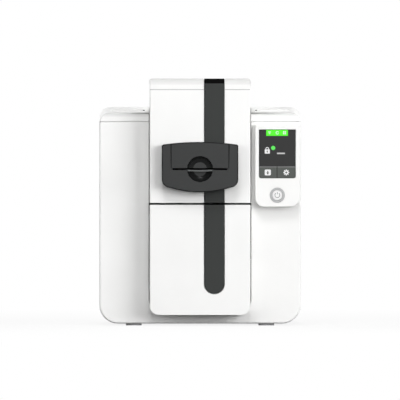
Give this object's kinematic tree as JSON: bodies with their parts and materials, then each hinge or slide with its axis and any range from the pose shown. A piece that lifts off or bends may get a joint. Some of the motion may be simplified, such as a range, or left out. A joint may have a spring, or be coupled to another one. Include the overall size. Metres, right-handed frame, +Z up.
{
  "type": "id card printer",
  "caption": "Desktop ID card printer with a hinged top cover, a lower front door, a front card slot with a thumb dish and a small touch panel.",
  "frame": {"origin": "on the desk under the middle of the printer's box, at the underside of the rubber feet", "axes": "+Z up, the front with the card slot faces -Y, +Y to the back along the printer's depth, +X to the right seen from the front, on the touch panel's side"},
  "size_m": [0.205, 0.38, 0.251],
  "materials": {
    "white_abs": "fine moulded, satin",
    "off_white_abs": "moulded, satin",
    "grey_plate": "powder coated sheet",
    "dark_grey_abs": "moulded, satin",
    "black_abs": "moulded, matt",
    "button_white": "moulded, semi gloss",
    "button_ring_silver": "satin silver paint",
    "rubber_grey": "matt light grey rubber",
    "rubber_black": "matt rubber",
    "zinc_sheet": "galvanised sheet",
    "ground_steel": "ground",
    "pinch_rubber": "matt rubber",
    "sintered_bronze": "sintered",
    "brass_pinion": "machined",
    "acetal_ivory": "moulded",
    "motor_black": "black painted",
    "display_black": "display panel",
    "lens_black": "coated glass",
    "ribbon_colour": "thin polyester film",
    "ribbon_used": "thin polyester film",
    "board_green": "solder mask",
    "socket_black": "moulded",
    "socket_metal": "plated"
  },
  "bodies": {
    "base": {"bottom_plate": "grey_plate", "rubber_feet": "rubber_grey", "main_casing": "white_abs", "left_top_cap": "white_abs", "right_top_cap": "white_abs", "rear_panel": "off_white_abs", "rear_hump_cover": "white_abs", "bay_frame": "zinc_sheet", "casing_screws": "ground_steel", "panel_housing": "white_abs", "display_module": "display_black", "touch_lens": "lens_black", "power_button_ring": "button_ring_silver", "reject_bin": "black_abs", "left_side_plate": "zinc_sheet", "right_side_plate": "zinc_sheet", "roller_bushes": "sintered_bronze", "card_guide": "zinc_sheet", "stepper_motor": "motor_black", "drive_belt": "rubber_black", "ribbon_cradle": "ground_steel", "ribbon_film": "ribbon_colour", "card_hopper": "black_abs", "main_board": "board_green", "power_inlet": "socket_black", "usb_port": "socket_metal", "ethernet_port": "socket_metal", "cover_catch": "zinc_sheet", "door_magnet": "motor_black", "cover_hinge_pins": "ground_steel", "door_hinge_pins": "ground_steel"},
    "top_cover": {"cover_shell": "white_abs", "cover_frame": "black_abs", "strip_upper": "dark_grey_abs", "slot_bezel": "dark_grey_abs", "slot_insert": "dark_grey_abs", "printhead_bracket": "zinc_sheet", "print_head": "motor_black", "cover_striker": "zinc_sheet"},
    "front_door": {"door_shell": "white_abs", "strip_lower": "dark_grey_abs", "door_strike_plate": "zinc_sheet"},
    "power_key": {"power_button": "button_white"},
    "platen": {"platen_shaft": "ground_steel", "platen_rubber": "rubber_black", "platen_gear": "acetal_ivory"},
    "front_roller": {"front_shaft": "ground_steel", "front_rubber": "rubber_black"},
    "transport_roller": {"transport_shaft": "ground_steel", "transport_rubber": "rubber_black"},
    "feed_roller": {"feed_shaft": "ground_steel", "feed_rubber": "rubber_black"},
    "front_pinch": {"front_pinch_roller": "pinch_rubber"},
    "transport_pinch": {"transport_pinch_roller": "pinch_rubber"},
    "pinion": {"motor_pinion": "brass_pinion"},
    "ribbon_supply": {"supply_spool": "acetal_ivory", "supply_ribbon": "ribbon_colour"},
    "ribbon_takeup": {"takeup_spool": "acetal_ivory", "takeup_ribbon": "ribbon_used"},
    "card_weight": {"hopper_weight": "zinc_sheet"}
  },
  "joints": [
    {"name": "top_cover_hinge", "type": "hinge", "parent": "base", "child": "top_cover", "pos_m": [0, 0.0914, 0.242], "axis": [-1, 0, 0], "range_deg": [0, 70]},
    {"name": "front_door_hinge", "type": "hinge", "parent": "base", "child": "front_door", "pos_m": [-0.04805, -0.1515, 0.067], "axis": [0, 0, -1], "range_deg": [0, 88]},
    {"name": "power_key_press", "type": "slide", "parent": "base", "child": "power_key", "axis": [0, 1, 0], "range_m": [0, 0.0012], "stiffness_N_per_m": 200},
    {"name": "platen_spin", "type": "hinge", "parent": "base", "child": "platen", "pos_m": [0, -0.06, 0.1511], "axis": [1, 0, 0], "continuous": true},
    {"name": "front_roller_spin", "type": "hinge", "parent": "base", "child": "front_roller", "pos_m": [0, -0.126, 0.1511], "axis": [1, 0, 0], "continuous": true},
    {"name": "transport_roller_spin", "type": "hinge", "parent": "base", "child": "transport_roller", "pos_m": [0, -0.002, 0.1511], "axis": [1, 0, 0], "continuous": true},
    {"name": "feed_roller_spin", "type": "hinge", "parent": "base", "child": "feed_roller", "pos_m": [0, 0.05, 0.1511], "axis": [1, 0, 0], "continuous": true},
    {"name": "front_pinch_spin", "type": "hinge", "parent": "base", "child": "front_pinch", "pos_m": [0, -0.126, 0.1644], "axis": [1, 0, 0], "continuous": true},
    {"name": "transport_pinch_spin", "type": "hinge", "parent": "base", "child": "transport_pinch", "pos_m": [0, -0.002, 0.1644], "axis": [1, 0, 0], "continuous": true},
    {"name": "pinion_spin", "type": "hinge", "parent": "base", "child": "pinion", "pos_m": [0, -0.08645, 0.14147], "axis": [1, 0, 0], "continuous": true},
    {"name": "ribbon_supply_spin", "type": "hinge", "parent": "base", "child": "ribbon_supply", "pos_m": [0, -0.012, 0.197], "axis": [1, 0, 0], "continuous": true},
    {"name": "ribbon_takeup_spin", "type": "hinge", "parent": "base", "child": "ribbon_takeup", "pos_m": [0, -0.11, 0.197], "axis": [1, 0, 0], "continuous": true},
    {"name": "card_weight_slide", "type": "slide", "parent": "base", "child": "card_weight", "axis": [0, 0, 1], "range_m": [0, 0.04]}
  ],
  "couplings": [
    {"joint": "front_roller_spin", "follows": "platen_spin", "ratio": 1},
    {"joint": "transport_roller_spin", "follows": "platen_spin", "ratio": 1},
    {"joint": "feed_roller_spin", "follows": "platen_spin", "ratio": 1},
    {"joint": "front_pinch_spin", "follows": "platen_spin", "ratio": -1.5},
    {"joint": "transport_pinch_spin", "follows": "platen_spin", "ratio": -1.5},
    {"joint": "pinion_spin", "follows": "platen_spin", "ratio": -3.6667}
  ]
}
